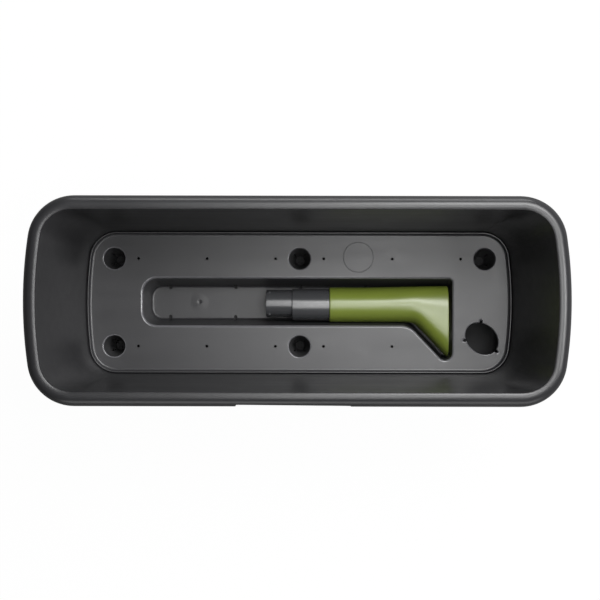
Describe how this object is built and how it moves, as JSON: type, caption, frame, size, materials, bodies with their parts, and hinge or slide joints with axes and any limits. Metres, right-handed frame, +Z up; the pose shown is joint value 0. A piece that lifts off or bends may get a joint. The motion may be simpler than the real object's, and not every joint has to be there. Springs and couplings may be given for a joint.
{
  "type": "self-watering planter trough",
  "caption": "Long plastic planter trough with a rolled rim, a lift-out insert over a water reservoir, and a filler pipe with a flared spout stored in the insert.",
  "frame": {"origin": "on the ground, at the middle of the trough's footprint", "axes": "+X along the length, towards the filler hole's end; +Y to the side away from the filler hole; +Z up"},
  "size_m": [0.79, 0.304, 0.295],
  "materials": {
    "trough_plastic": "satin moulded anthracite",
    "insert_plastic": "satin moulded anthracite",
    "tube_plastic": "satin moulded dark grey",
    "spout_plastic": "semi-gloss moulded green",
    "plug_plastic": "soft moulded dark grey"
  },
  "bodies": {
    "trough": {"trough": "trough_plastic"},
    "insert": {"insert": "insert_plastic"},
    "spout": {"fill_spout": "spout_plastic"},
    "tube": {"fill_tube": "tube_plastic"},
    "plug": {"drain_plug": "plug_plastic"}
  },
  "joints": [
    {"name": "insert_lift", "type": "slide", "parent": "trough", "child": "insert", "axis": [0, 0, 1], "range_m": [0, 0.31]},
    {"name": "pipe_lift", "type": "slide", "parent": "insert", "child": "spout", "axis": [0, 0, 1], "range_m": [0, 0.3]},
    {"name": "tube_pull", "type": "slide", "parent": "spout", "child": "tube", "axis": [-1, 0, 0], "range_m": [0, 0.06]},
    {"name": "plug_pull", "type": "slide", "parent": "trough", "child": "plug", "axis": [0, 0, 1], "range_m": [0, 0.045]}
  ]
}
